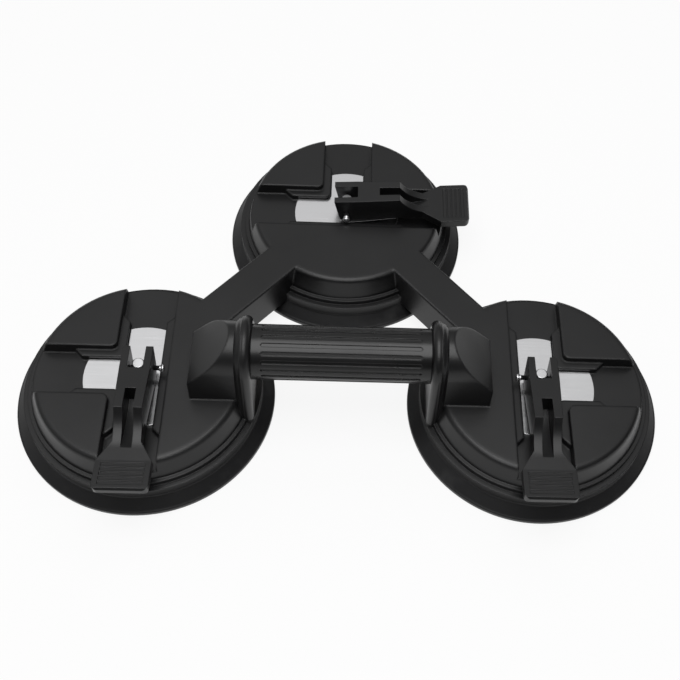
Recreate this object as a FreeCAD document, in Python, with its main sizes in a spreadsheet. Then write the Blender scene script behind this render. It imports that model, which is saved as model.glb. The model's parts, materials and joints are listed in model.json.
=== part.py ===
import FreeCAD, Part
import math
import os
import re
import Sketcher

# Floor tile suction lifter: three rubber vacuum cups under one moulded housing, each drawn up by a
# cam lever on a steel stud, and a fluted handle between two posts.
# Millimetres. +X runs to the right along the handle, +Y to the single back cup, +Z up. The origin is
# on the floor under the middle of the whole lifter. Levers are closed, which is their rest position.

os.makedirs("parts", exist_ok=True)
doc = FreeCAD.newDocument("SuctionLifter")

# ---------------------------------------------------------------------------------------------
# Driving dimensions. Heights are above the floor unless a comment says otherwise.
# ---------------------------------------------------------------------------------------------
SIZES = {
    "cup_spacing": 180.0,        # between the axes of the two front cups
    "cup_setback": 99.0,         # from the front cups' axes to the back cup's axis
    "cup_radius": 59.0,          # rubber cup, outside
    "rubber_height": 8.0,        # top of the rubber, where the housing sits
    "rubber_shoulder": 55.0,     # radius where the rubber's top turns down to the lip
    "lip_height": 2.2,           # upright edge of the rubber lip
    "seal_width": 9.0,           # flat ring of the rubber that touches the floor
    "vacuum_height": 2.2,        # hollow under the rubber, at its centre
    "disc_radius": 30.0,         # steel pull disc
    "disc_thickness": 2.0,
    "soft_gap": 0.3,             # clearance round pieces that don't slide on each other
    "running_gap": 0.08,         # radial clearance of pins and studs in their bores
    "step_one_radius": 53.6,     # lower step at the foot of the housing
    "step_one_height": 12.8,
    "step_two_radius": 51.2,     # upper step
    "step_two_height": 15.5,
    "dome_radius": 47.0,         # round top of each housing
    "dome_height": 26.0,
    "dome_edge": 2.6,            # rounding of the top edge
    "dome_draft": 17.0,          # slope of the housing wall, degrees
    "dome_bevel": 45.0,          # lower and upper facet of the rounded edge, from the vertical
    "dome_crest": 15.0,
    "wall": 3.0,                 # moulded wall thickness
    "channel_width": 24.6,       # T shaped channel across the top of each housing
    "channel_corner": 3.0,
    "floor_height": 19.8,        # bottom of the channel, under the wear plate
    "ledge_height": 23.0,        # ledges beside the wear plate
    "ledge_reach": 27.6,         # from the cup's axis to the end of the ledges
    "cavity_radius": 46.0,       # hollow under each housing
    "boss_radius": 5.2,          # stud guide under the roof, inside the spring
    "boss_length": 4.0,
    "plate_radius": 26.0,        # steel wear plate: a T cut from a round disc
    "plate_width": 16.2,
    "plate_corner": 3.0,
    "plate_thickness": 1.2,
    "plate_hole": 3.4,           # radius
    "stud_radius": 2.8,
    "stud_height": 32.0,
    "stud_chamfer": 0.5,
    "pin_height": 28.0,          # axis of the lever's cross pin
    "pin_radius": 1.1,
    "pin_head_radius": 1.7,
    "pin_head_length": 1.4,
    "pin_overhang": 4.6,         # from the lever's side to the end of the pin's head
    "pin_tail": 0.8,             # beyond the lever's other side
    "spring_wire": 1.3,
    "spring_radius": 6.4,        # to the middle of the wire
    "spring_turns": 3.0,
    "spring_steps": 12,          # straight runs in each turn of the spring
    "cam_radius": 5.45,          # lever's cam, a round off-centre from the pin
    "cam_offset": 1.54,          # cam's centre, towards the paddle from the pin
    "cam_drop": 1.25,            # cam's centre, below the pin
    "heel_angle": 78.0,          # lever's opening, and the slope of its back edge, degrees
    "lever_width": 13.3,         # at the fork
    "neck_width": 12.2,          # where the paddle's flare starts
    "paddle_width": 23.4,
    "cheek_gap": 6.9,            # between the lever's two cheeks
    "slot_width": 4.6,           # slot in the lever's back
    "fork_height": 8.3,          # top of the fork above the pin
    "brow_height": 10.7,         # highest point of the lever's back above the pin
    "brow_reach": 26.0,          # and its distance from the pin
    "dip_reach": 41.0,           # end of the hollow curve in front of the brow
    "dip_radius": 17.8,
    "paddle_reach": 47.0,        # start of the paddle's full width
    "lever_reach": 61.0,         # tip of the paddle
    "paddle_rise": 1.3,          # paddle's top climbs this much towards its tip
    "paddle_thickness": 4.2,
    "bridge_reach": 5.4,         # the bridge between the cheeks starts here
    "bridge_thickness": 2.1,
    "slot_reach": 16.2,          # the slot starts here
    "slot_curve": 42.0,          # radius of the slot's hollow floor
    "neck_thickness": 5.2,       # depth of the lever under the slot
    "flare_reach": 38.0,         # start of the flare from neck to paddle
    "groove_margin": 1.2,        # from the paddle's start to its first thumb groove
    "groove_width": 1.55,
    "groove_length": 18.6,
    "groove_depth": 0.4,
    "groove_pitch": 2.2,
    "groove_count": 5,
    "tip_corner": 2.6,           # radius of the paddle's corners
    "tip_edge": 0.9,             # bevel of the paddle's tip
    "grip_height": 44.0,         # axis of the handle
    "grip_radius": 12.15,
    "grip_length": 77.6,         # between the two posts
    "flute_count": 20,
    "flute_width": 1.7,
    "flute_depth": 0.55,
    "flute_margin": 4.1,         # plain band at each end of the grip
    "core_radius": 7.0,          # steel tube through the grip
    "screw_radius": 3.0,
    "screw_length": 16.0,
    "screw_head_radius": 7.5,
    "screw_head_height": 3.0,
    "post_radius": 13.3,         # arch of the handle post, about the handle's axis
    "post_foot": 28.8,           # width of the post where it meets the housing
    "post_length": 27.7,         # from the grip's end outwards
    "post_shoulder": 37.5,       # height of the post's outer end
    "slope_start": 3.0,          # from the collar to the slope, along the top of the post
    "bearing_wall": 6.0,         # post wall that carries the tube's end and the screw's head
    "collar_radius": 15.6,       # raised rim at the inner end of the post
    "collar_width": 6.4,
    "collar_foot": 37.0,         # width of the rim at the housing's lower step
    "collar_edge": 2.4,
    "arm_width": 18.0,           # arms from the back housing, at the top
    "arm_draft": 4.5,            # slope of the arms' sides, degrees
    "arm_clearance": 0.4,        # arms' underside above the rubber
    "arm_edge": 0.8,
}

# Dimensions that follow from the ones above.
DERIVED = {
    "front_y": "((lever_reach - cup_radius - cup_setback) / 2)",
    "back_y": "(front_y + cup_setback)",
    "disc_top": "(rubber_height + disc_thickness)",
    "roof": "(floor_height - wall)",
    "pocket_width": "(plate_width + 2 * soft_gap)",
    "post_inner": "(grip_length / 2)",
    "collar_outer": "(post_inner + collar_width)",
    "post_outer": "(post_inner + post_length)",
    "hollow_inner": "(post_inner + bearing_wall)",
    "crest": "(grip_height + post_radius)",
    "slope_inner": "(collar_outer + slope_start)",
    "post_fall": "((crest - post_shoulder) / (post_outer - slope_inner))",
    "arm_length": "sqrt(cup_spacing^2 / 4 + cup_setback^2)",
    "arm_angle": "atan2(cup_setback; cup_spacing / 2)",
    "arm_base": "(rubber_height + arm_clearance)",
    "arm_reach": "(dome_radius - channel_width / 2)",
    "paddle_base": "(brow_height - dip_radius + sqrt(dip_radius^2 - (dip_reach - brow_reach)^2))",
    "paddle_slope": "(paddle_rise / (lever_reach - tip_edge - paddle_reach))",
    "clear": "(2 * paddle_width)",
}

sheet = doc.addObject("Spreadsheet::Sheet", "Sizes")
for row, (name, number) in enumerate(SIZES.items(), start=1):
    sheet.set(f"A{row}", name)
    sheet.set(f"B{row}", str(number))
    sheet.setAlias(f"B{row}", name)
doc.recompute()


def bound(text):
    """A dimension written with the names above, as an expression on the sheet."""
    text = str(text)
    while any(word in DERIVED for word in re.findall(r"[a-z_]+", text)):
        text = re.sub(r"[a-z_]+", lambda m: DERIVED.get(m[0], m[0]), text)
    return re.sub(r"[a-z_]+", lambda m: "Sizes." + m[0] if m[0] in SIZES else m[0], text)


def value(text):
    """The same dimension as a number."""
    number = sheet.evalExpression(bound(text))
    return float(getattr(number, "Value", number))


# ---------------------------------------------------------------------------------------------
# Modelling helpers
# ---------------------------------------------------------------------------------------------
def body(name, place=("0", "0", "0"), turn="0"):
    """An empty body, moved to a place and turned about the vertical."""
    made = doc.addObject("PartDesign::Body", name)
    made.Label = name
    put(made, place, turn)
    return made


def put(item, place, turn="0"):
    for axis, text in zip("xyz", place):
        item.setExpression(f"Placement.Base.{axis}", bound(text))
    item.setExpression("Placement.Rotation.Angle", bound(turn))


def sketch(owner, plane, lift="0", name="Sketch"):
    """A sketch on one of the body's own origin planes, lifted along the plane's normal."""
    made = owner.newObject("Sketcher::SketchObject", owner.Label + name)
    base = next(o for o in owner.Origin.OriginFeatures if o.Role == plane + "_Plane")
    made.AttachmentSupport = (base, [""])
    made.MapMode = "FlatFace"
    made.setExpression("AttachmentOffset.Base.z", bound(lift))
    return made


def limit(target, kind, geometry, end, text):
    """A bound distance from the sketch's origin to one end of a line or arc."""
    index = target.addConstraint(Sketcher.Constraint(kind, -1, 1, geometry, end, value(text)))
    target.setExpression(f"Constraints[{index}]", bound(text))


def outline(target, corners):
    """A closed outline. A corner is (x, y), or (x, y, radius, side) where the edge that follows it
    is an arc: side 1 puts its centre on the left of the way round, side -1 on the right."""
    count = len(corners)
    points = [FreeCAD.Vector(value(c[0]), value(c[1]), 0) for c in corners]
    ends = []
    for i, corner in enumerate(corners):
        start, finish = points[i], points[(i + 1) % count]
        if len(corner) == 2:
            index = target.addGeometry(Part.LineSegment(start, finish), False)
            ends.append((index, 1, 2))
            continue
        radius, side = value(corner[2]), corner[3]
        chord = finish - start
        normal = FreeCAD.Vector(-chord.y, chord.x, 0).normalize()
        rise = math.sqrt(max(radius ** 2 - chord.Length ** 2 / 4, 0))
        centre = (start + finish) / 2 + normal * rise * side
        first, last = (start, finish) if side > 0 else (finish, start)
        angles = [math.atan2(p.y - centre.y, p.x - centre.x) for p in (first, last)]
        circle = Part.Circle(centre, FreeCAD.Vector(0, 0, 1), radius)
        index = target.addGeometry(Part.ArcOfCircle(circle, *angles), False)
        ends.append((index, 1, 2) if side > 0 else (index, 2, 1))
    for i, corner in enumerate(corners):
        index, start, finish = ends[i]
        following = ends[(i + 1) % count]
        target.addConstraint(Sketcher.Constraint("Coincident", index, finish, following[0], following[1]))
        limit(target, "DistanceX", index, start, corner[0])
        limit(target, "DistanceY", index, start, corner[1])
        if len(corner) > 2:
            arc = target.addConstraint(Sketcher.Constraint("Radius", index, value(corner[2])))
            target.setExpression(f"Constraints[{arc}]", bound(corner[2]))


def ring(target, radius, x="0", y="0"):
    """A full circle."""
    centre = FreeCAD.Vector(value(x), value(y), 0)
    circle = Part.Circle(centre, FreeCAD.Vector(0, 0, 1), value(radius))
    index = target.addGeometry(circle, False)
    limit(target, "DistanceX", index, 3, x)
    limit(target, "DistanceY", index, 3, y)
    size = target.addConstraint(Sketcher.Constraint("Radius", index, value(radius)))
    target.setExpression(f"Constraints[{size}]", bound(radius))


def feature(owner, kind, profile, **settings):
    """A sketch based feature. Texts in settings are bound to the sheet, other values are set."""
    made = owner.newObject("PartDesign::" + kind, f"{owner.Label}{kind}")
    made.Profile = profile
    for key, setting in settings.items():
        if key in ("Length", "TaperAngle"):
            made.setExpression(key, bound(setting))
        else:
            setattr(made, key, setting)
    return made


def turned(owner, kind, profile):
    """A full revolution or groove about the sketch's upright axis."""
    return feature(owner, kind, profile, ReferenceAxis=(profile, ["V_Axis"]), Angle=360.0)


def edges_where(item, test):
    """Names of an object's edges whose middle passes the test."""
    names = []
    for number, edge in enumerate(item.Shape.Edges, start=1):
        if test(edge.valueAt((edge.FirstParameter + edge.LastParameter) / 2)):
            names.append(f"Edge{number}")
    return names


def eased(owner, base, size, test, kind="Fillet"):
    """Fillet or chamfer the edges of a feature that pass the test, in the body's own coordinates."""
    doc.recompute()
    made = owner.newObject("PartDesign::" + kind, owner.Label + kind)
    made.Base = (base, edges_where(base, test))
    made.setExpression("Radius" if kind == "Fillet" else "Size", bound(size))
    return made


def near(a, b):
    return abs(a - b) < 0.01


CUPS = {
    "left": {"place": ("-cup_spacing / 2", "front_y"), "stem": "180", "lever": "-90", "head": 1},
    "right": {"place": ("cup_spacing / 2", "front_y"), "stem": "0", "lever": "-90", "head": -1},
    "back": {"place": ("0", "back_y"), "stem": "90", "lever": "0", "head": -1},
}


# ---------------------------------------------------------------------------------------------
# The moulded body: three housings, two arms, two posts with their collars
# ---------------------------------------------------------------------------------------------
def channel_outline(target, half, corner):
    """The T shaped channel, out past the housing's wall. Its stem runs along the sketch's +x."""
    far = "step_one_radius + wall"
    outline(target, [
        (f"-({half})", f"-({far})"),
        (half, f"-({far})"),
        (half, f"-({half}) - {corner}", corner, -1),
        (f"{half} + {corner}", f"-({half})"),
        (far, f"-({half})"),
        (far, half),
        (f"{half} + {corner}", half, corner, -1),
        (half, f"{half} + {corner}"),
        (half, far),
        (f"-({half})", far),
    ])


def floor_outline(target):
    """The channel's floor: narrow beside the wear plate, then as wide as the channel."""
    narrow, wide = "pocket_width / 2", "channel_width / 2"
    near_end, far_end = "ledge_reach", f"ledge_reach + {wide} - {narrow}"
    far, corner = "step_one_radius + wall", "(plate_corner - soft_gap)"
    outline(target, [
        (f"-{wide}", f"-({far})"),
        (wide, f"-({far})"),
        (wide, f"-({far_end})"),
        (narrow, f"-{near_end}"),
        (narrow, f"-{narrow} - {corner}", corner, -1),
        (f"{narrow} + {corner}", f"-{narrow}"),
        (near_end, f"-{narrow}"),
        (far_end, f"-{wide}"),
        (far, f"-{wide}"),
        (far, wide),
        (far_end, wide),
        (near_end, narrow),
        (f"{narrow} + {corner}", narrow, corner, -1),
        (narrow, f"{narrow} + {corner}"),
        (narrow, near_end),
        (wide, far_end),
        (wide, far),
        (f"-{wide}", far),
        (f"-{wide}", far_end),
        (f"-{narrow}", near_end),
        (f"-{narrow}", f"-{near_end}"),
        (f"-{wide}", f"-({far_end})"),
    ])


def housing(side):
    """One round housing: a drafted, stepped dome with the channel across its top."""
    cup = CUPS[side]
    made = body("housing_" + side, cup["place"] + ("0",), cup["stem"])
    profile = sketch(made, "XZ", name="Profile")
    rim, level = "(dome_radius - dome_edge)", "(dome_height - dome_edge)"
    edge_x = f"({rim} + dome_edge * cos(dome_draft))"
    edge_z = f"({level} + dome_edge * sin(dome_draft))"
    outline(profile, [
        ("0", "rubber_height"),
        ("step_one_radius", "rubber_height"),
        ("step_one_radius", "step_one_height"),
        ("step_two_radius", "step_one_height"),
        ("step_two_radius", "step_two_height"),
        (f"{edge_x} + ({edge_z} - step_two_height) * tan(dome_draft)", "step_two_height"),
        (edge_x, edge_z),
        (f"{rim} + dome_edge * sin(dome_bevel)", f"{level} + dome_edge * cos(dome_bevel)"),
        (f"{rim} + dome_edge * sin(dome_crest)", f"{level} + dome_edge * cos(dome_crest)"),
        (f"{rim} - dome_edge * tan(dome_crest)", "dome_height"),
        ("0", "dome_height"),
    ])
    turned(made, "Revolution", profile)
    upper = sketch(made, "XY", "dome_height", "Channel")
    channel_outline(upper, "channel_width / 2", "channel_corner")
    feature(made, "Pocket", upper, Length="dome_height - ledge_height")
    floor = sketch(made, "XY", "ledge_height", "Floor")
    floor_outline(floor)
    feature(made, "Pocket", floor, Length="ledge_height - floor_height")
    return made


def arm(side):
    """One drafted arm, from a front housing towards the back housing."""
    turn = "arm_angle" if side < 0 else "180 deg - arm_angle"
    name = "arm_left" if side < 0 else "arm_right"
    made = body(name, (f"{side} * cup_spacing / 2", "front_y", "0"), turn)
    plan = sketch(made, "XY", "dome_height", "Plan")
    start, end, half = "arm_reach", "arm_length - arm_reach", "arm_width / 2"
    outline(plan, [(start, f"-{half}"), (end, f"-{half}"), (end, half), (start, half)])
    block = feature(made, "Pad", plan, Length="dome_height - arm_base", Reversed=True,
                    TaperAngle="arm_draft")
    top, edge = value("dome_height"), value(half)
    eased(made, block, "arm_edge", lambda p: near(p.z, top) and near(abs(p.y), edge))
    return made


def arch(target, radius, foot, base):
    """An arch about the handle's axis, with flanks that leave it at a tangent and widen down to
    its foot. The sketch's x is +Y."""
    drop = f"(grip_height - ({base}))"
    angle = f"(acos({radius} / sqrt(({foot} / 2)^2 + {drop}^2)) - atan2({drop}; {foot} / 2))"
    side, level = f"{radius} * cos{angle}", f"grip_height + {radius} * sin{angle}"
    outline(target, [
        (f"front_y - {foot} / 2", base),
        (f"front_y + {foot} / 2", base),
        (f"front_y + {side}", level, radius, 1),
        ("front_y", f"grip_height + {radius}", radius, 1),
        (f"front_y - {side}", level),
    ])


def post(side):
    """Handle post: an arch lying along the handle, cut off by a slope at its outer end."""
    made = body(f"post_{'left' if side < 0 else 'right'}")
    section = sketch(made, "YZ", f"{side} * post_inner", "Section")
    arch(section, "post_radius", "post_foot", "roof + wall / 2")
    feature(made, "Pad", section, Length="post_length", Reversed=side < 0)
    slope = sketch(made, "XZ", "-front_y", "Slope")
    outline(slope, [
        (f"{side} * slope_inner", "crest"),
        (f"{side} * (post_outer + wall)", "post_shoulder - wall * post_fall"),
        (f"{side} * (post_outer + wall)", "crest + wall"),
        (f"{side} * slope_inner", "crest + wall"),
    ])
    feature(made, "Pocket", slope, Length="2 * collar_foot", SideType="Symmetric")
    return made


def collar(side):
    """Raised bead round the post's inner end, down to the housing's lower step."""
    made = body(f"collar_{'left' if side < 0 else 'right'}")
    section = sketch(made, "YZ", f"{side} * post_inner", "Section")
    arch(section, "collar_radius", "collar_foot", "step_one_height - wall / 2")
    rim = feature(made, "Pad", section, Length="collar_width", Reversed=side < 0)
    base = value("step_one_height - wall / 2")
    faces = [value(f"{side} * post_inner"), value(f"{side} * collar_outer")]

    def round_an_end(p):
        return any(near(p.x, x) for x in faces) and not near(p.z, base)
    eased(made, rim, "collar_edge", round_an_end, "Chamfer")
    return made


def hollows():
    """Everything that is cut out of the fused body from below, and the bores."""
    cuts = []
    for side, cup in CUPS.items():
        made = body("cavity_" + side, cup["place"] + ("0",))
        profile = sketch(made, "XZ", name="Profile")
        outline(profile, [
            ("0", "rubber_height - wall"),
            ("cavity_radius", "rubber_height - wall"),
            ("cavity_radius", "roof"),
            ("boss_radius", "roof"),
            ("boss_radius", "roof - boss_length"),
            ("stud_radius + running_gap", "roof - boss_length"),
            ("stud_radius + running_gap", "dome_height"),
            ("0", "dome_height"),
        ])
        turned(made, "Revolution", profile)
        cuts.append(made)
    for side in (-1, 1):
        name = "left" if side < 0 else "right"
        turn = "arm_angle" if side < 0 else "180 deg - arm_angle"
        made = body("arm_hollow_" + name, (f"{side} * cup_spacing / 2", "front_y", "0"), turn)
        plan = sketch(made, "XY", "arm_base - wall", "Plan")
        start, end = "step_one_radius", "arm_length - step_one_radius"
        half = "(arm_width / 2 - wall / 2)"
        outline(plan, [(start, f"-{half}"), (end, f"-{half}"), (end, half), (start, half)])
        feature(made, "Pad", plan, Length="dome_height - arm_base")
        cuts.append(made)
        made = body("post_hollow_" + name)
        shape = sketch(made, "XZ", "-front_y", "Shape")
        deep, room = "(post_outer - wall)", "(screw_head_radius + soft_gap)"
        under_slope = "(crest - wall * sqrt(1 + post_fall^2))"
        bend = f"(slope_inner + ({under_slope} - grip_height - {room}) / post_fall)"
        outline(shape, [
            (f"{side} * hollow_inner", "roof - wall"),
            (f"{side} * {deep}", "roof - wall"),
            (f"{side} * {deep}", f"{under_slope} - ({deep} - slope_inner) * post_fall"),
            (f"{side} * {bend}", f"grip_height + {room}"),
            (f"{side} * hollow_inner", f"grip_height + {room}"),
        ])
        feature(made, "Pad", shape, Length=f"2 * {room}", SideType="Symmetric")
        cuts.append(made)
    made = body("core_bore")
    end = sketch(made, "YZ", "0", "End")
    ring(end, "core_radius + running_gap", "front_y", "grip_height")
    feature(made, "Pad", end, Length="2 * hollow_inner", SideType="Symmetric")
    cuts.append(made)
    return cuts


def moulded_body():
    """The one-piece moulding that carries everything else."""
    solids = [housing(side) for side in CUPS]
    solids += [maker(side) for maker in (arm, post, collar) for side in (-1, 1)]
    outside = doc.addObject("Part::MultiFuse", "moulding_outside")
    outside.Shapes = solids
    inside = doc.addObject("Part::MultiFuse", "moulding_inside")
    inside.Shapes = hollows()
    made = doc.addObject("Part::Cut", "body_frame")
    made.Base = outside
    made.Tool = inside
    made.Label = "body_frame"
    return made


# ---------------------------------------------------------------------------------------------
# The handle
# ---------------------------------------------------------------------------------------------
def handle_grip():
    """Fluted sleeve between the posts."""
    made = body("handle_grip", ("0", "front_y", "grip_height"))
    section = sketch(made, "YZ", "0", "Section")
    ring(section, "grip_radius")
    ring(section, "core_radius + running_gap")
    feature(made, "Pad", section, Length="grip_length", SideType="Symmetric")
    flute = sketch(made, "XY", "grip_radius - flute_depth", "Flute")
    half, end = "flute_width / 2", "(grip_length / 2 - flute_margin - flute_width / 2)"
    outline(flute, [
        (f"-{end}", f"-({half})"),
        (end, f"-({half})"),
        (f"{end} + {half}", "0"),
        (end, half),
        (f"-{end}", half),
        (f"-{end} - {half}", "0"),
    ])
    first = feature(made, "Pocket", flute, Length="2 * flute_depth", Reversed=True)
    pattern = made.newObject("PartDesign::PolarPattern", "handle_gripFlutes")
    pattern.Originals = [first]
    pattern.Axis = (next(o for o in made.Origin.OriginFeatures if o.Role == "X_Axis"), [""])
    pattern.Angle = 360.0
    pattern.setExpression("Occurrences", bound("flute_count"))
    made.Tip = pattern
    return made


def handle_core():
    """Steel tube through the grip and both posts, tapped for the screws at its ends."""
    made = body("handle_core", ("0", "front_y", "grip_height"))
    end = sketch(made, "YZ", "0", "End")
    ring(end, "core_radius")
    ring(end, "screw_radius + running_gap")
    feature(made, "Pad", end, Length="2 * (hollow_inner - soft_gap)", SideType="Symmetric")
    return made


def handle_screws():
    """The two flanged screws that hold the tube, inside the posts."""
    parts = []
    for side in (-1, 1):
        made = body("screw_" + ("left" if side < 0 else "right"), ("0", "front_y", "grip_height"))
        half = sketch(made, "XY", "0", "Half")
        tip, face = "(hollow_inner - screw_length)", "hollow_inner"
        top = "(hollow_inner + screw_head_height)"
        outline(half, [
            (f"{side} * {tip}", "0"),
            (f"{side} * {tip}", "screw_radius"),
            (f"{side} * {face}", "screw_radius"),
            (f"{side} * {face}", "screw_head_radius"),
            (f"{side} * {top}", "screw_head_radius"),
            (f"{side} * {top}", "0"),
        ])
        feature(made, "Revolution", half, ReferenceAxis=(half, ["H_Axis"]), Angle=360.0)
        parts.append(made)
    made = doc.addObject("Part::Compound", "handle_screws")
    made.Links = parts
    made.Label = "handle_screws"
    return made


# ---------------------------------------------------------------------------------------------
# One vacuum cup with its lever, three times
# ---------------------------------------------------------------------------------------------
def rubber_cup(side):
    """Rubber cup: flat seal ring on the floor, thin lip, shallow vacuum hollow below."""
    made = body("rubber_cup_" + side, CUPS[side]["place"] + ("0",))
    profile = sketch(made, "XZ", name="Profile")
    outline(profile, [
        ("0", "vacuum_height"),
        ("cup_radius - seal_width - vacuum_height", "vacuum_height"),
        ("cup_radius - seal_width", "0"),
        ("cup_radius", "0"),
        ("cup_radius", "lip_height"),
        ("rubber_shoulder", "rubber_height"),
        ("0", "rubber_height"),
    ])
    turned(made, "Revolution", profile)
    return made


def pull_disc(side):
    """Steel disc on the rubber that the stud lifts."""
    made = body("pull_disc_" + side, CUPS[side]["place"] + ("rubber_height",))
    plan = sketch(made, "XY", "0", "Plan")
    ring(plan, "disc_radius")
    feature(made, "Pad", plan, Length="disc_thickness")
    return made


def stud(side):
    """Steel stud, welded on the pull disc, with a cross bore for the lever's pin."""
    cup = CUPS[side]
    made = body("stud_" + side, cup["place"] + ("0",), cup["lever"])
    profile = sketch(made, "XZ", name="Profile")
    outline(profile, [
        ("0", "disc_top"),
        ("stud_radius", "disc_top"),
        ("stud_radius", "stud_height - stud_chamfer"),
        ("stud_radius - stud_chamfer", "stud_height"),
        ("0", "stud_height"),
    ])
    turned(made, "Revolution", profile)
    bore = sketch(made, "XZ", "0", "Bore")
    ring(bore, "pin_radius + running_gap", "0", "pin_height")
    feature(made, "Pocket", bore, Length="4 * stud_radius", SideType="Symmetric")
    return made


def lever_pin(side):
    """Cross pin, with its head on the side that faces the handle or the front."""
    cup = CUPS[side]
    made = body("lever_pin_" + side, cup["place"] + ("pin_height",), cup["lever"])
    half = sketch(made, "XY", "0", "Half")
    sign = cup["head"]
    head = "lever_width / 2 + pin_overhang"
    outline(half, [
        ("0", f"-{sign} * (lever_width / 2 + pin_tail)"),
        ("0", f"{sign} * ({head})"),
        ("pin_head_radius", f"{sign} * ({head})"),
        ("pin_head_radius", f"{sign} * ({head} - pin_head_length)"),
        ("pin_radius", f"{sign} * ({head} - pin_head_length)"),
        ("pin_radius", f"-{sign} * (lever_width / 2 + pin_tail)"),
    ])
    turned(made, "Revolution", half)
    return made


def return_spring(side):
    """Coil spring round the stud, between the pull disc and the housing's roof. Its wire follows
    short straight runs, because nothing shows it and a true helix would take too many facets."""
    steps = round(value("spring_turns * spring_steps"))
    radius, rise = value("spring_radius"), value("(roof - disc_top - spring_wire - 2 * soft_gap)")
    turn = math.radians(360 / value("spring_steps"))
    path = doc.addObject("Part::Feature", "coil_" + side)
    path.Shape = Part.makePolygon([
        FreeCAD.Vector(radius * math.cos(i * turn), radius * math.sin(i * turn), rise * i / steps)
        for i in range(steps + 1)])
    wire = doc.addObject("Part::RegularPolygon", "wire_" + side)
    wire.Polygon = 6
    wire.setExpression("Circumradius", bound("spring_wire / 2"))
    wire.setExpression("Placement.Base.x", bound("spring_radius"))
    wire.Placement.Rotation = FreeCAD.Rotation(FreeCAD.Vector(1, 0, 0), 90)
    made = doc.addObject("Part::Sweep", "return_spring_" + side)
    made.Sections = [wire]
    made.Spine = (path, [])
    made.Solid = True
    made.Frenet = True
    made.Transition = "Right corner"
    made.Label = "return_spring_" + side
    put(made, CUPS[side]["place"] + ("disc_top + spring_wire / 2 + soft_gap",))
    return made


def wear_plate(side):
    """Bright steel T in the channel's floor, under the lever's cams."""
    cup = CUPS[side]
    made = body("wear_plate_" + side, cup["place"] + ("floor_height",), cup["stem"])
    plan = sketch(made, "XY", "0", "Plan")
    half, corner = "plate_width / 2", "plate_corner"
    end = f"sqrt(plate_radius^2 - ({half})^2)"
    outline(plan, [
        (f"-({half})", f"-{end}", "plate_radius", 1),
        (half, f"-{end}"),
        (half, f"-({half}) - {corner}", corner, -1),
        (f"{half} + {corner}", f"-({half})"),
        (end, f"-({half})", "plate_radius", 1),
        (end, half),
        (f"{half} + {corner}", half, corner, -1),
        (half, f"{half} + {corner}"),
        (half, end, "plate_radius", 1),
        (f"-({half})", end),
    ])
    ring(plan, "plate_hole")
    feature(made, "Pad", plan, Length="plate_thickness")
    return made


def lever_side(target):
    """The lever's side outline, about its pin, with the paddle along +x."""
    cam = ("cam_offset - cam_radius * sin(heel_angle)", "-cam_drop - cam_radius * cos(heel_angle)")
    heel = f"{cam[0]} - (fork_height + cam_drop + cam_radius * cos(heel_angle)) / tan(heel_angle)"
    tip_top, tip_base = "(paddle_base + paddle_rise)", "(paddle_base + paddle_rise - paddle_thickness)"
    outline(target, [
        ("cam_offset", "-cam_drop - cam_radius"),
        ("brow_reach", "paddle_base - neck_thickness"),
        ("paddle_reach", "paddle_base - paddle_thickness"),
        ("lever_reach - tip_edge", tip_base),
        ("lever_reach", f"{tip_base} + tip_edge"),
        ("lever_reach", f"{tip_top} - tip_edge"),
        ("lever_reach - tip_edge", tip_top),
        ("paddle_reach", "paddle_base"),
        ("dip_reach", "paddle_base", "dip_radius", -1),
        ("brow_reach", "brow_height"),
        (heel, "fork_height"),
        (cam[0], cam[1], "cam_radius", 1),
    ])


def lever_plan(target):
    """The lever seen from above."""
    rear, reach = "-(fork_height + cam_radius)", "lever_reach"
    outline(target, [
        (rear, "-lever_width / 2"),
        ("bridge_reach", "-lever_width / 2"),
        ("brow_reach", "-neck_width / 2"),
        ("flare_reach", "-neck_width / 2"),
        ("paddle_reach", "-paddle_width / 2"),
        (f"{reach} - tip_corner", "-paddle_width / 2", "tip_corner", 1),
        (reach, "-paddle_width / 2 + tip_corner"),
        (reach, "paddle_width / 2 - tip_corner", "tip_corner", 1),
        (f"{reach} - tip_corner", "paddle_width / 2"),
        ("paddle_reach", "paddle_width / 2"),
        ("flare_reach", "neck_width / 2"),
        ("brow_reach", "neck_width / 2"),
        ("bridge_reach", "lever_width / 2"),
        (rear, "lever_width / 2"),
    ])


def thumb_grooves(owner, side):
    """Shallow grooves across the paddle, repeated along its sloping top."""
    profile = sketch(owner, "XZ", "0", "Groove")
    start = "(paddle_reach + groove_margin)"
    floor = "(paddle_base + groove_margin * paddle_slope - groove_depth)"
    outline(profile, [
        (start, floor),
        (f"{start} + groove_width", f"{floor} + groove_width * paddle_slope"),
        (f"{start} + groove_width", f"{floor} + fork_height"),
        (start, f"{floor} + fork_height"),
    ])
    run = FreeCAD.Vector(1, value("paddle_slope"), 0)
    profile.addGeometry(Part.LineSegment(FreeCAD.Vector(0, 0, 0), run), True)
    cut = feature(owner, "Pocket", profile, Length="groove_length", SideType="Symmetric")
    pattern = owner.newObject("PartDesign::LinearPattern", "grooves_" + side)
    pattern.Originals = [cut]
    pattern.Direction = (profile, ["Axis0"])
    pattern.setExpression("Length", bound("groove_pitch * (groove_count - 1)"))
    pattern.setExpression("Occurrences", bound("groove_count"))
    owner.Tip = pattern


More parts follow.
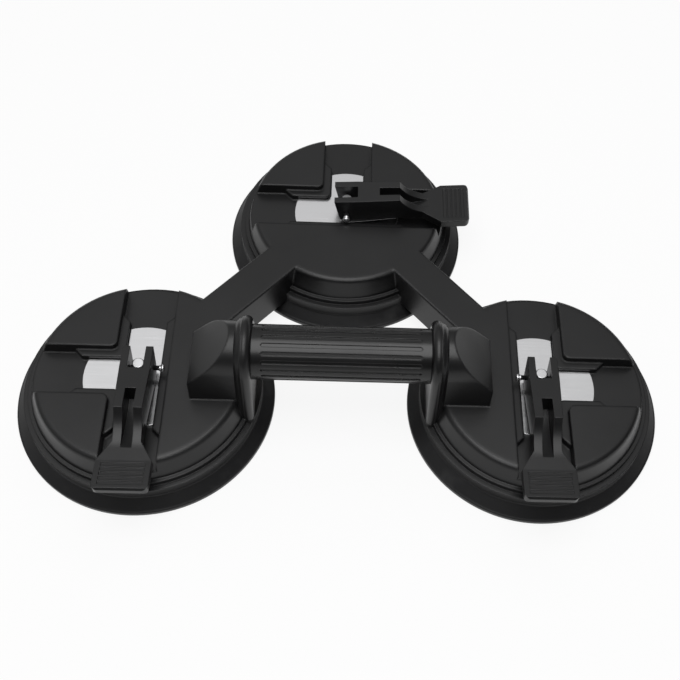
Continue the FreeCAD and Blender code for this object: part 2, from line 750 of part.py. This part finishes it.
def cam_lever(side):
    """Cam lever: forked cheeks on the pin, a slot with a hollow floor, a thumb paddle."""
    cup = CUPS[side]
    plan_body = body("lever_plan_" + side)
    plan = sketch(plan_body, "XY", "0", "Plan")
    lever_plan(plan)
    feature(plan_body, "Pad", plan, Length="clear", SideType="Symmetric")
    made = body("lever_side_" + side)
    flank = sketch(made, "XZ", "0", "Flank")
    lever_side(flank)
    feature(made, "Pad", flank, Length="clear", SideType="Symmetric")
    fork = sketch(made, "XY", "0", "Fork")
    gap = "cheek_gap / 2"
    outline(fork, [
        ("-clear", f"-{gap}"),
        ("bridge_reach", f"-{gap}"),
        ("bridge_reach", gap),
        ("-clear", gap),
    ])
    feature(made, "Pocket", fork, Length="clear", SideType="Symmetric")
    belly = sketch(made, "XZ", "0", "Belly")
    inside, ceiling = "slot_reach - bridge_thickness", "fork_height - bridge_thickness"
    outline(belly, [("0", "-clear"), (inside, "-clear"), (inside, ceiling), ("0", ceiling)])
    feature(made, "Pocket", belly, Length="cheek_gap", SideType="Symmetric")
    slot = sketch(made, "XZ", "0", "Slot")
    outline(slot, [
        ("slot_reach", "0", "slot_curve", 1),
        ("dip_reach", "paddle_base"),
        ("dip_reach", "clear"),
        ("slot_reach", "clear"),
    ])
    feature(made, "Pocket", slot, Length="slot_width", SideType="Symmetric")
    bore = sketch(made, "XZ", "0", "Bore")
    ring(bore, "pin_radius + running_gap")
    feature(made, "Pocket", bore, Length="clear", SideType="Symmetric")
    thumb_grooves(made, side)
    lever = doc.addObject("Part::MultiCommon", "lever_" + side)
    lever.Shapes = [made, plan_body]
    lever.Label = "lever_" + side
    put(lever, cup["place"] + ("pin_height",), cup["lever"])
    return lever


def build():
    """Every piece of the lifter, each under its own name."""
    pieces = [moulded_body(), handle_grip(), handle_core(), handle_screws()]
    makers = (rubber_cup, pull_disc, stud, lever_pin, return_spring, wear_plate, cam_lever)
    pieces += [maker(side) for maker in makers for side in CUPS]
    return pieces


def check(pieces):
    """Stop if any object failed to recompute or any piece isn't a sound solid."""
    for item in doc.Objects:
        failed = [state for state in item.State if state in ("Invalid", "Error")]
        if failed:
            raise RuntimeError(f"{item.Label} failed: {item.getStatusString()}")
    for piece in pieces:
        shape = piece.Shape
        if shape.isNull() or not shape.isValid() or not shape.Solids:
            raise RuntimeError(f"{piece.Label} is not a sound solid")


pieces = build()
doc.recompute()
check(pieces)
for piece in pieces:
    piece.Shape.exportStep(f"parts/{piece.Label}.step")
    print(f"{piece.Label}: {len(piece.Shape.Solids)} solid(s), {piece.Shape.Volume:.0f} mm3")
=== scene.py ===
import json
import math

import bmesh
import bpy
from mathutils import Matrix, Vector


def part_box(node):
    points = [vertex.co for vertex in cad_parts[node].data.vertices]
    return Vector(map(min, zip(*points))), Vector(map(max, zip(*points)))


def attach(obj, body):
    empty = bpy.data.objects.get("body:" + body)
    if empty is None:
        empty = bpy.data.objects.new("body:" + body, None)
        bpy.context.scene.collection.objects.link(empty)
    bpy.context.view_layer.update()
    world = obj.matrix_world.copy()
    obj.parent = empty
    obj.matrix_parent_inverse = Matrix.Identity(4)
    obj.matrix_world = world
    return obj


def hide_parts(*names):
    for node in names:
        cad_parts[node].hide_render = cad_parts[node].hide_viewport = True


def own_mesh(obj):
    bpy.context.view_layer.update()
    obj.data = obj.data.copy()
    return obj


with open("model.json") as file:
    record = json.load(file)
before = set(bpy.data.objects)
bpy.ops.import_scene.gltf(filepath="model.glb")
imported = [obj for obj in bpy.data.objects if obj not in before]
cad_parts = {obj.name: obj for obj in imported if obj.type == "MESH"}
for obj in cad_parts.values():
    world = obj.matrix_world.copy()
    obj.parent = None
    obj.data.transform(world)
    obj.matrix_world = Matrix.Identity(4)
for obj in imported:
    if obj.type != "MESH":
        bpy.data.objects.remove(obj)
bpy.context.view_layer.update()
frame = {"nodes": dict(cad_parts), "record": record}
nodes = frame["nodes"]
SIDES = ("left", "right", "back")
MM = 0.001

# Sizes of the lifter that the extra pieces need, in millimetres.
CUP_RADIUS = 59.0
RUBBER_TOP = 8.0
HOLLOW = 2.2          # height of the vacuum hollow under a cup
HOUSING_FOOT = 53.6   # radius of the housing where it sits on the rubber
MEMBRANE = 44.0       # radius of the cup's middle
MEMBRANE_LAP = 0.6    # the middle reaches this far into the skirt
SKIN_GAP = 0.02       # and lies this far inside it, so that no two faces share a plane
GRIP_HEIGHT = 44.0    # height of the handle's axis
GRIP_HALF = 38.8      # from the middle to the inner end of a post
COLLAR_WIDTH = 6.4
COLLAR_RADIUS = 15.6
COLLAR_FOOT = 18.5    # half the collar's width at its foot
COLLAR_BASE = 11.3    # height of its foot
PIN_RADIUS = 1.1
PIN_BEVEL = 0.2       # at the pin's plain end

# Section of a cup's skirt. The recess is given outwards from the housing's foot and up from the
# rubber's top, the lip and the seal outwards from the cup's radius and up from the floor.
SKIRT_RECESS = [(-0.4, 0.0), (-0.15, -0.2), (-0.1, -0.9), (0.05, -1.15)]
SLOPE_TOP = 0.3       # from the housing's foot outwards to the top of the skirt's slope
SLOPE_END = 0.6       # from the cup's edge inwards to its lower end
SLOPE_DEPTH = 1.35    # from the rubber's top down to the top of the slope
SLOPE_FALL = 3.85     # height of the slope
SLOPE_STEPS = 12
SKIRT_LIP = [(-0.4, 2.72), (-0.2, 2.6), (-0.05, 2.4), (0.0, 2.1), (0.0, 0.5), (-0.1, 0.15), (-0.4, 0.0)]
SKIRT_SEAL = [(-8.2, 0.0), (-9.0, 0.25), (-11.0, HOLLOW)]
SKIRT_WOBBLE = 0.04
# Waves of the soft rubber round a skirt: share of the wobble, number of waves, phase.
WAVES = ((1.0, 3, 0.7), (0.6, 7, 2.1))
WAVE_FADE = 4         # the waves grow with this power of the radius

# Section of a collar's bead: along the handle from the collar's middle, and radius.
BEAD_SECTION = [
    (-3.05, 12.25), (-3.22, 12.3), (-3.28, 13.6), (-2.6, 15.1), (-0.9, 15.95), (0.7, 15.5), (1.8, 14.7),
    (2.5, 14.5), (3.15, 14.0), (3.35, 13.4), (3.9, 13.3), (3.9, 12.9), (3.3, 12.3), (3.1, 12.25)]
BEAD_FLANK_STEPS = 8
BEAD_ARCH_STEPS = 36

# Section of a pin's headed end: radius beyond the shank's, and distance from the tip.
PIN_HEAD = [(0.0, 2.5), (0.28, 2.45), (0.28, 1.75), (-0.05, 1.7), (-0.05, 1.45), (0.5, 1.35), (0.6, 0.8),
            (0.3, 0.2), (-0.5, 0.0)]

# Camera.
LENS = 54.6
SENSOR = 36.0
SHIFT = -0.078
CLIP_START = 0.05
CAMERA_PLACE = (0.0026, -0.2873, 0.4261)

# Studio.
FLOOR_HALF = 4.0
FLOOR_GLOW = 0.87     # share of plain white in the floor that the camera and gloss see
WORLD_LIGHT = 0.5     # strength of the studio's own light on the lifter
WORLD_HIGH = 0.88     # share of full strength where it is brightest
WORLD_LOW = 0.14      # share of it that is left at the horizon
WORLD_CREST = Vector((-0.26, 0.21, 0.943)).normalized()   # where it is brightest: up, left and back
WORLD_FADE = (0.3, 0.95)   # cosines from that direction between which it fades

# Softened edges, in metres, and the heights between which the housing's edges change radius.
SOFT_SAMPLES = 6
STEPS_TOP = 0.0165
DOME_START = 0.0195
EDGE_FLAT = 0.995     # cosine between true and softened normal on an open surface
EDGE_SHARP = 0.86     # and on an edge


# ---------------------------------------------------------------------------------------------
# Node trees
# ---------------------------------------------------------------------------------------------
class Tree:
    """A node tree and short calls for the nodes in it."""

    def __init__(self, tree):
        self.tree = tree

    def node(self, kind, **settings):
        made = self.tree.nodes.new(kind)
        for key, setting in settings.items():
            setattr(made, key, setting)
        return made

    def link(self, source, target):
        self.tree.links.new(source, target)

    def feed(self, source, socket):
        """Link a socket to another, or set it to a number."""
        if isinstance(source, (int, float)):
            socket.default_value = source
        else:
            self.link(source, socket)

    def math(self, operation, first, second):
        made = self.node("ShaderNodeMath", operation=operation)
        self.feed(first, made.inputs[0])
        self.feed(second, made.inputs[1])
        return made.outputs["Value"]

    def ramp(self, source, low, high, out_low=0.0, out_high=1.0):
        made = self.node("ShaderNodeMapRange")
        made.inputs["From Min"].default_value = low
        made.inputs["From Max"].default_value = high
        made.inputs["To Min"].default_value = out_low
        made.inputs["To Max"].default_value = out_high
        self.link(source, made.inputs["Value"])
        return made.outputs["Result"]


class Graph(Tree):
    """A principled material and short calls for the nodes that feed it."""

    def __init__(self, name, color, roughness, metallic=0.0, specular=0.5):
        self.material = bpy.data.materials.new(name)
        self.material.use_nodes = True
        super().__init__(self.material.node_tree)
        self.shader = self.tree.nodes["Principled BSDF"]
        self.shader.inputs["Base Color"].default_value = (*color, 1)
        self.shader.inputs["Roughness"].default_value = roughness
        self.shader.inputs["Metallic"].default_value = metallic
        self.shader.inputs["Specular IOR Level"].default_value = specular
        self.place = self.node("ShaderNodeTexCoord").outputs["Object"]

    def noise(self, scale, detail=2.0, stretch=(1, 1, 1), rough=0.5):
        mapping = self.node("ShaderNodeMapping")
        mapping.inputs["Scale"].default_value = stretch
        self.link(self.place, mapping.inputs["Vector"])
        made = self.node("ShaderNodeTexNoise")
        made.inputs["Scale"].default_value = scale
        made.inputs["Detail"].default_value = detail
        made.inputs["Roughness"].default_value = rough
        self.link(mapping.outputs["Vector"], made.inputs["Vector"])
        return made.outputs["Fac"]

    def mix(self, share, first, second):
        """A colour between two, each a socket or a plain colour."""
        made = self.node("ShaderNodeMix", data_type="RGBA")
        self.link(share, made.inputs["Factor"])
        colors = [socket for socket in made.inputs if socket.type == "RGBA"]
        for socket, source in zip(colors, (first, second)):
            if isinstance(source, tuple):
                socket.default_value = (*source, 1)
            else:
                self.link(source, socket)
        return next(socket for socket in made.outputs if socket.type == "RGBA")

    def rounded(self, radius, foot=None):
        """The surface's normal with its edges rounded to a radius. With foot, the radius shrinks
        to that size from the housing's top to the steps at its foot."""
        made = self.node("ShaderNodeBevel", samples=SOFT_SAMPLES)
        made.inputs["Radius"].default_value = radius
        if foot is not None:
            split = self.node("ShaderNodeSeparateXYZ")
            self.link(self.place, split.inputs["Vector"])
            changing = self.ramp(split.outputs["Z"], STEPS_TOP, DOME_START, foot, radius)
            self.link(changing, made.inputs["Radius"])
        return made.outputs["Normal"]

    def edges(self, soft):
        """0 on open surfaces, up to 1 on edges that the rounded normal softens."""
        flat = self.node("ShaderNodeNewGeometry").outputs["Normal"]
        dot = self.node("ShaderNodeVectorMath", operation="DOT_PRODUCT")
        self.link(soft, dot.inputs[0])
        self.link(flat, dot.inputs[1])
        return self.ramp(dot.outputs["Value"], EDGE_FLAT, EDGE_SHARP)

    def bump(self, height, strength, distance, normal):
        made = self.node("ShaderNodeBump")
        made.inputs["Strength"].default_value = strength
        made.inputs["Distance"].default_value = distance
        self.link(height, made.inputs["Height"])
        self.link(normal, made.inputs["Normal"])
        return made.outputs["Normal"]

    def finish(self, color, roughness, normal):
        self.link(color, self.shader.inputs["Base Color"])
        self.link(roughness, self.shader.inputs["Roughness"])
        self.link(normal, self.shader.inputs["Normal"])
        return self.material


# ---------------------------------------------------------------------------------------------
# Camera, floor and light
# ---------------------------------------------------------------------------------------------
def view_matrix(azimuth, elevation, roll, place):
    """A camera matrix at a place, for a view direction given in degrees."""
    turn, tilt, lean = (math.radians(angle) for angle in (azimuth, elevation, roll))
    back = Vector((math.sin(turn) * math.cos(tilt), -math.cos(turn) * math.cos(tilt), math.sin(tilt)))
    right = (-back).cross(Vector((0, 0, 1))).normalized()
    up = right.cross(-back)
    rolled_right = math.cos(lean) * right + math.sin(lean) * up
    rolled_up = math.cos(lean) * up - math.sin(lean) * right
    matrix = Matrix((rolled_right, rolled_up, back)).transposed().to_4x4()
    matrix.translation = place
    return matrix


def add_camera():
    data = bpy.data.cameras.new("camera")
    data.lens = LENS
    data.sensor_width = SENSOR
    data.shift_x = SHIFT
    data.clip_start = CLIP_START
    camera = bpy.data.objects.new("camera", data)
    camera.matrix_world = view_matrix(azimuth=-4.58, elevation=57.06, roll=5.44, place=CAMERA_PLACE)
    bpy.context.collection.objects.link(camera)
    bpy.context.scene.camera = camera


def add_light(name, place, target, width, depth, watts, glossy=True):
    """A soft box, facing a target."""
    data = bpy.data.lights.new(name, "AREA")
    data.shape = "RECTANGLE"
    data.size = width
    data.size_y = depth
    data.energy = watts
    light = bpy.data.objects.new(name, data)
    light.location = place
    light.rotation_euler = (Vector(target) - Vector(place)).to_track_quat("-Z", "Y").to_euler()
    light.visible_glossy = glossy
    bpy.context.collection.objects.link(light)


def add_floor():
    """White floor. The camera sees it nearly white, with the lifter's soft shadow on it."""
    half = FLOOR_HALF
    corners = [(-half, -half, 0), (half, -half, 0), (half, half, 0), (-half, half, 0)]
    mesh = bpy.data.meshes.new("floor")
    mesh.from_pydata(corners, [], [(0, 1, 2, 3)])
    floor = bpy.data.objects.new("floor", mesh)
    bpy.context.collection.objects.link(floor)
    graph = Graph("floor_white", color=(0.9, 0.9, 0.9), roughness=0.9, specular=0.0)
    glow = graph.node("ShaderNodeEmission")
    glow.inputs["Strength"].default_value = 1.0
    path = graph.node("ShaderNodeLightPath")
    seen = graph.math("MAXIMUM", path.outputs["Is Camera Ray"], path.outputs["Is Glossy Ray"])
    both = graph.node("ShaderNodeMixShader")
    graph.link(graph.math("MULTIPLY", seen, FLOOR_GLOW), both.inputs["Fac"])
    graph.link(graph.shader.outputs["BSDF"], both.inputs[1])
    graph.link(glow.outputs["Emission"], both.inputs[2])
    graph.link(both.outputs["Shader"], graph.tree.nodes["Material Output"].inputs["Surface"])
    mesh.materials.append(graph.material)


def add_world():
    """Studio: white where the camera looks past the floor. In reflections it is bright overhead
    and dimmer towards the horizon, and it is half as strong for the light that falls on things."""
    world = bpy.data.worlds.new("studio")
    world.use_nodes = True
    bpy.context.scene.world = world
    graph = Tree(world.node_tree)
    background = graph.tree.nodes["Background"]
    background.inputs["Color"].default_value = (1, 1, 1, 1)
    height = graph.node("ShaderNodeVectorMath", operation="DOT_PRODUCT")
    graph.link(graph.node("ShaderNodeTexCoord").outputs["Generated"], height.inputs[0])
    height.inputs[1].default_value = WORLD_CREST
    fade = graph.ramp(height.outputs["Value"], *WORLD_FADE, WORLD_LOW, WORLD_HIGH)
    path = graph.node("ShaderNodeLightPath")
    seen = graph.math("MAXIMUM", path.outputs["Is Glossy Ray"], path.outputs["Is Transmission Ray"])
    strength = graph.math("ADD", graph.math("MULTIPLY", seen, 1 - WORLD_LIGHT), WORLD_LIGHT)
    total = graph.math("MAXIMUM", graph.math("MULTIPLY", strength, fade), path.outputs["Is Camera Ray"])
    graph.link(total, background.inputs["Strength"])


# ---------------------------------------------------------------------------------------------
# Materials
# ---------------------------------------------------------------------------------------------
def scaled(color, times, more=0.0):
    """A colour made brighter or darker, with a little added."""
    return tuple(times * part + more for part in color)


def plastic(name, color, roughness, edge, grain, foot=None):
    """Black moulded plastic: fine eroded grain, slight flow marks, edges rubbed paler."""
    graph = Graph(name, color, roughness, specular=0.36)
    soft = graph.rounded(edge, foot)
    fine = graph.noise(grain, detail=3.0)
    flow = graph.noise(28.0, detail=4.0)
    patches = graph.ramp(graph.noise(160.0, detail=3.0), 0.35, 0.7)
    rub = graph.math("MULTIPLY", graph.edges(soft), patches)
    tone = graph.mix(graph.ramp(flow, 0.3, 0.7), scaled(color, 0.85), scaled(color, 1.2))
    shade = graph.mix(graph.math("MULTIPLY", rub, 0.5), tone, scaled(color, 3.2, more=0.012))
    gloss = graph.ramp(flow, 0.3, 0.7, roughness - 0.05, roughness + 0.06)
    return graph.finish(shade, gloss, graph.bump(fine, strength=0.25, distance=0.00004, normal=soft))


def rubber(name, color):
    """Black rubber: matt, with pale dust."""
    graph = Graph(name, color, roughness=0.42, specular=0.27)
    soft = graph.rounded(0.0008)
    dust = graph.ramp(graph.noise(70.0, detail=5.0, rough=0.65), 0.55, 0.8)
    shade = graph.mix(graph.math("MULTIPLY", dust, 0.25), color, (0.05, 0.05, 0.05))
    gloss = graph.ramp(dust, 0.0, 1.0, 0.38, 0.62)
    fine = graph.noise(1400.0)
    return graph.finish(shade, gloss, graph.bump(fine, strength=0.2, distance=0.00003, normal=soft))


def brushed(name, color, roughness, stretch=(1, 1, 1)):
    """Bright steel with fine drawn lines and a few smudges."""
    graph = Graph(name, color, roughness, metallic=1.0)
    soft = graph.rounded(0.0003)
    lines = graph.noise(60.0, detail=4.0, stretch=stretch, rough=0.6)
    smudge = graph.noise(45.0, detail=3.0)
    shade = graph.mix(graph.ramp(lines, 0.3, 0.7), scaled(color, 0.95), color)
    gloss = graph.math("ADD", graph.ramp(lines, 0.3, 0.7, roughness - 0.04, roughness + 0.04),
                       graph.ramp(smudge, 0.45, 0.75, 0.0, 0.08))
    return graph.finish(shade, gloss, graph.bump(lines, strength=0.06, distance=0.00002, normal=soft))


MATERIALS = {
    "housing": plastic("housing_black", (0.0055, 0.0055, 0.0058), roughness=0.34, edge=0.0014,
                       grain=1100.0, foot=0.0005),
    "grip": plastic("grip_black", (0.005, 0.005, 0.0052), roughness=0.27, edge=0.0005, grain=1300.0),
    "lever": plastic("lever_black", (0.0065, 0.0065, 0.0068), roughness=0.33, edge=0.0005, grain=1500.0),
    "cup_rubber": rubber("cup_rubber", (0.010, 0.010, 0.0105)),
    "plate_steel": brushed("plate_steel", (0.7, 0.7, 0.71), roughness=0.2, stretch=(1, 24, 1)),
    "zinc_steel": brushed("zinc_steel", (0.7, 0.7, 0.71), roughness=0.28),
    "spring_steel": brushed("spring_steel", (0.4, 0.4, 0.41), roughness=0.35),
}


def dress_nodes():
    for part in frame["record"]["subparts"]:
        mesh = nodes[part["node"]].data
        mesh.materials.clear()
        mesh.materials.append(MATERIALS[part["material_slot"]])


# ---------------------------------------------------------------------------------------------
# Pieces that replace or finish the plain solids
# ---------------------------------------------------------------------------------------------
def middle(node):
    """The middle of a solid's box."""
    low, high = (Vector(corner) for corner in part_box(node))
    return (low + high) / 2


def softened(points, times):
    """A closed outline with its corners cut again and again until they are round."""
    for _ in range(times):
        cut = []
        for here, there in zip(points, points[1:] + points[:1]):
            here, there = Vector(here), Vector(there)
            cut += [here.lerp(there, 0.25), here.lerp(there, 0.75)]
        points = cut
    return [tuple(point) for point in points]


def grid_piece(name, rows, slot, around=True):
    """A closed skin over rows of points. Each row is a closed ring; around joins the last row to
    the first, and without it the two end rings are capped."""
    mesh = bpy.data.meshes.new(name)
    length = len(rows[0])
    points = [point for row in rows for point in row]
    steps = len(rows) if around else len(rows) - 1
    faces = []
    for i in range(steps):
        first, second = i * length, (i + 1) % len(rows) * length
        for j in range(length):
            k = (j + 1) % length
            faces.append((first + j, first + k, second + k, second + j))
    if not around:
        faces.append(tuple(reversed(range(length))))
        faces.append(tuple(range((len(rows) - 1) * length, len(rows) * length)))
    mesh.from_pydata([tuple(Vector(point) * MM) for point in points], [], faces)
    shell = bmesh.new()
    shell.from_mesh(mesh)
    bmesh.ops.remove_doubles(shell, verts=shell.verts, dist=1e-6)
    bmesh.ops.recalc_face_normals(shell, faces=shell.faces)
    for face in shell.faces:
        face.smooth = True
    shell.to_mesh(mesh)
    shell.free()
    mesh.materials.append(MATERIALS[slot])
    piece = bpy.data.objects.new(name, mesh)
    bpy.context.collection.objects.link(piece)
    return piece


def turned_piece(name, profile, slot, place, steps=144, wobble=0.0, axis="Z"):
    """A profile of (radius, height) turned about an axis through a place. The profile is in
    millimetres, the place in metres. Wobble varies the radius a little round the turn, as soft
    rubber does, and never adds to it."""
    peak = sum(share for share, _, _ in WAVES)
    rows = []
    for i in range(steps):
        turn = 2 * math.pi * i / steps
        waver = wobble * (sum(share * math.sin(count * turn + phase) for share, count, phase in WAVES) - peak)
        row = []
        for radius, height in profile:
            reach = radius + waver * (radius / CUP_RADIUS) ** WAVE_FADE
            spot = Vector((reach * math.cos(turn), reach * math.sin(turn), height))
            if axis == "X":
                spot = Vector((spot.z, spot.x, spot.y))
            if axis == "Y":
                spot = Vector((spot.x, spot.z, spot.y))
            row.append(spot + Vector(place) / MM)
        rows.append(row)
    return grid_piece(name, rows, slot)


def rubber_cup(side):
    """Vacuum cup in two pieces: the skirt, which slopes from the housing's foot down to an
    upright lip, and the middle."""
    centre = middle(f"rubber_cup_{side}")
    centre.z = 0
    skirt = [(MEMBRANE, RUBBER_TOP)]
    skirt += [(HOUSING_FOOT + out, RUBBER_TOP + rise) for out, rise in SKIRT_RECESS]
    run = CUP_RADIUS - SLOPE_END - HOUSING_FOOT - SLOPE_TOP
    for i in range(SLOPE_STEPS + 1):
        part = i / SLOPE_STEPS
        skirt.append((HOUSING_FOOT + SLOPE_TOP + run * part, RUBBER_TOP - SLOPE_DEPTH - SLOPE_FALL * part))
    skirt += [(CUP_RADIUS + out, height) for out, height in SKIRT_LIP + SKIRT_SEAL]
    skirt.append((MEMBRANE, HOLLOW))
    outer = turned_piece(f"cup_skirt_{side}", skirt, "cup_rubber", centre, wobble=SKIRT_WOBBLE)
    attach(outer, "frame")
    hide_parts(f"rubber_cup_{side}")
    edge = MEMBRANE + MEMBRANE_LAP
    disc = [(0.0, HOLLOW), (0.0, RUBBER_TOP), (edge, RUBBER_TOP - SKIN_GAP), (edge, HOLLOW + SKIN_GAP)]
    inner = turned_piece(f"cup_middle_{side}", disc, "cup_rubber", centre)
    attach(inner, "frame")
    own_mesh(inner)


def collar_bead(side):
    """Rounded bead over the rim at a post's inner end: an arch about the handle's axis whose
    flanks run down at a tangent to the housing's step."""
    sign = -1 if side == "left" else 1
    drop = GRIP_HEIGHT - COLLAR_BASE
    lean = math.acos(COLLAR_RADIUS / math.hypot(COLLAR_FOOT, drop)) - math.atan2(drop, COLLAR_FOOT)
    section = softened(BEAD_SECTION, times=2)
    centre = middle("handle_grip") / MM
    spots = []
    foot = Vector((COLLAR_FOOT, -drop))
    tangent = COLLAR_RADIUS * Vector((math.cos(lean), math.sin(lean)))
    outward = tangent.normalized()
    for i in range(BEAD_FLANK_STEPS):
        spots.append((foot.lerp(tangent, i / BEAD_FLANK_STEPS), outward))
    for i in range(BEAD_ARCH_STEPS + 1):
        turn = lean + (math.pi - 2 * lean) * i / BEAD_ARCH_STEPS
        outward = Vector((math.cos(turn), math.sin(turn)))
        spots.append((COLLAR_RADIUS * outward, outward))
    mirror = Vector((-1, 1))
    spots += [(spot * mirror, way * mirror) for spot, way in reversed(spots[:BEAD_FLANK_STEPS])]
    rows = []
    for spot, way in spots:
        row = []
        for along, radius in section:
            flat = spot + way * (radius - COLLAR_RADIUS)
            x = sign * (GRIP_HALF + COLLAR_WIDTH / 2 + along)
            row.append(Vector((x, centre.y + flat.x, GRIP_HEIGHT + flat.y)))
        rows.append(row)
    bead = grid_piece(f"collar_bead_{side}", rows, "housing", around=False)
    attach(bead, "frame")


def lever_pin(side):
    """Cross pin with a plain shank, a collar and a domed head."""
    node = f"lever_pin_{side}"
    low, high = (Vector(corner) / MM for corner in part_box(node))
    centre = (low + high) / 2
    axis = "Y" if side == "back" else "X"
    number = "XYZ".index(axis)
    stud = middle(f"stud_{side}")[number] / MM
    headed = 1 if high[number] - stud > stud - low[number] else -1
    length = high[number] - low[number]
    tail, tip = -headed * length / 2, headed * length / 2
    profile = [(0, tail), (PIN_RADIUS - PIN_BEVEL, tail), (PIN_RADIUS, tail + headed * PIN_BEVEL)]
    profile += [(PIN_RADIUS + out, tip - headed * back) for out, back in PIN_HEAD]
    profile.append((0, tip))
    pin = turned_piece(node + "_turned", profile, "zinc_steel", centre * MM, steps=32, axis=axis)
    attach(pin, f"{side}_stud")
    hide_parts(node)


dress_nodes()
for cup in SIDES:
    rubber_cup(cup)
    lever_pin(cup)
collar_bead("left")
collar_bead("right")
add_camera()
add_floor()
add_world()
add_light("key", place=(-0.05, -0.25, 1.1), target=(-0.05, -0.25, 0), width=0.8, depth=1.05, watts=9.4)
add_light("back", place=(0.3, 0.7, 0.9), target=(0, 0, 0), width=0.8, depth=0.6, watts=1.8, glossy=False)
bpy.context.scene.view_settings.view_transform = "Standard"
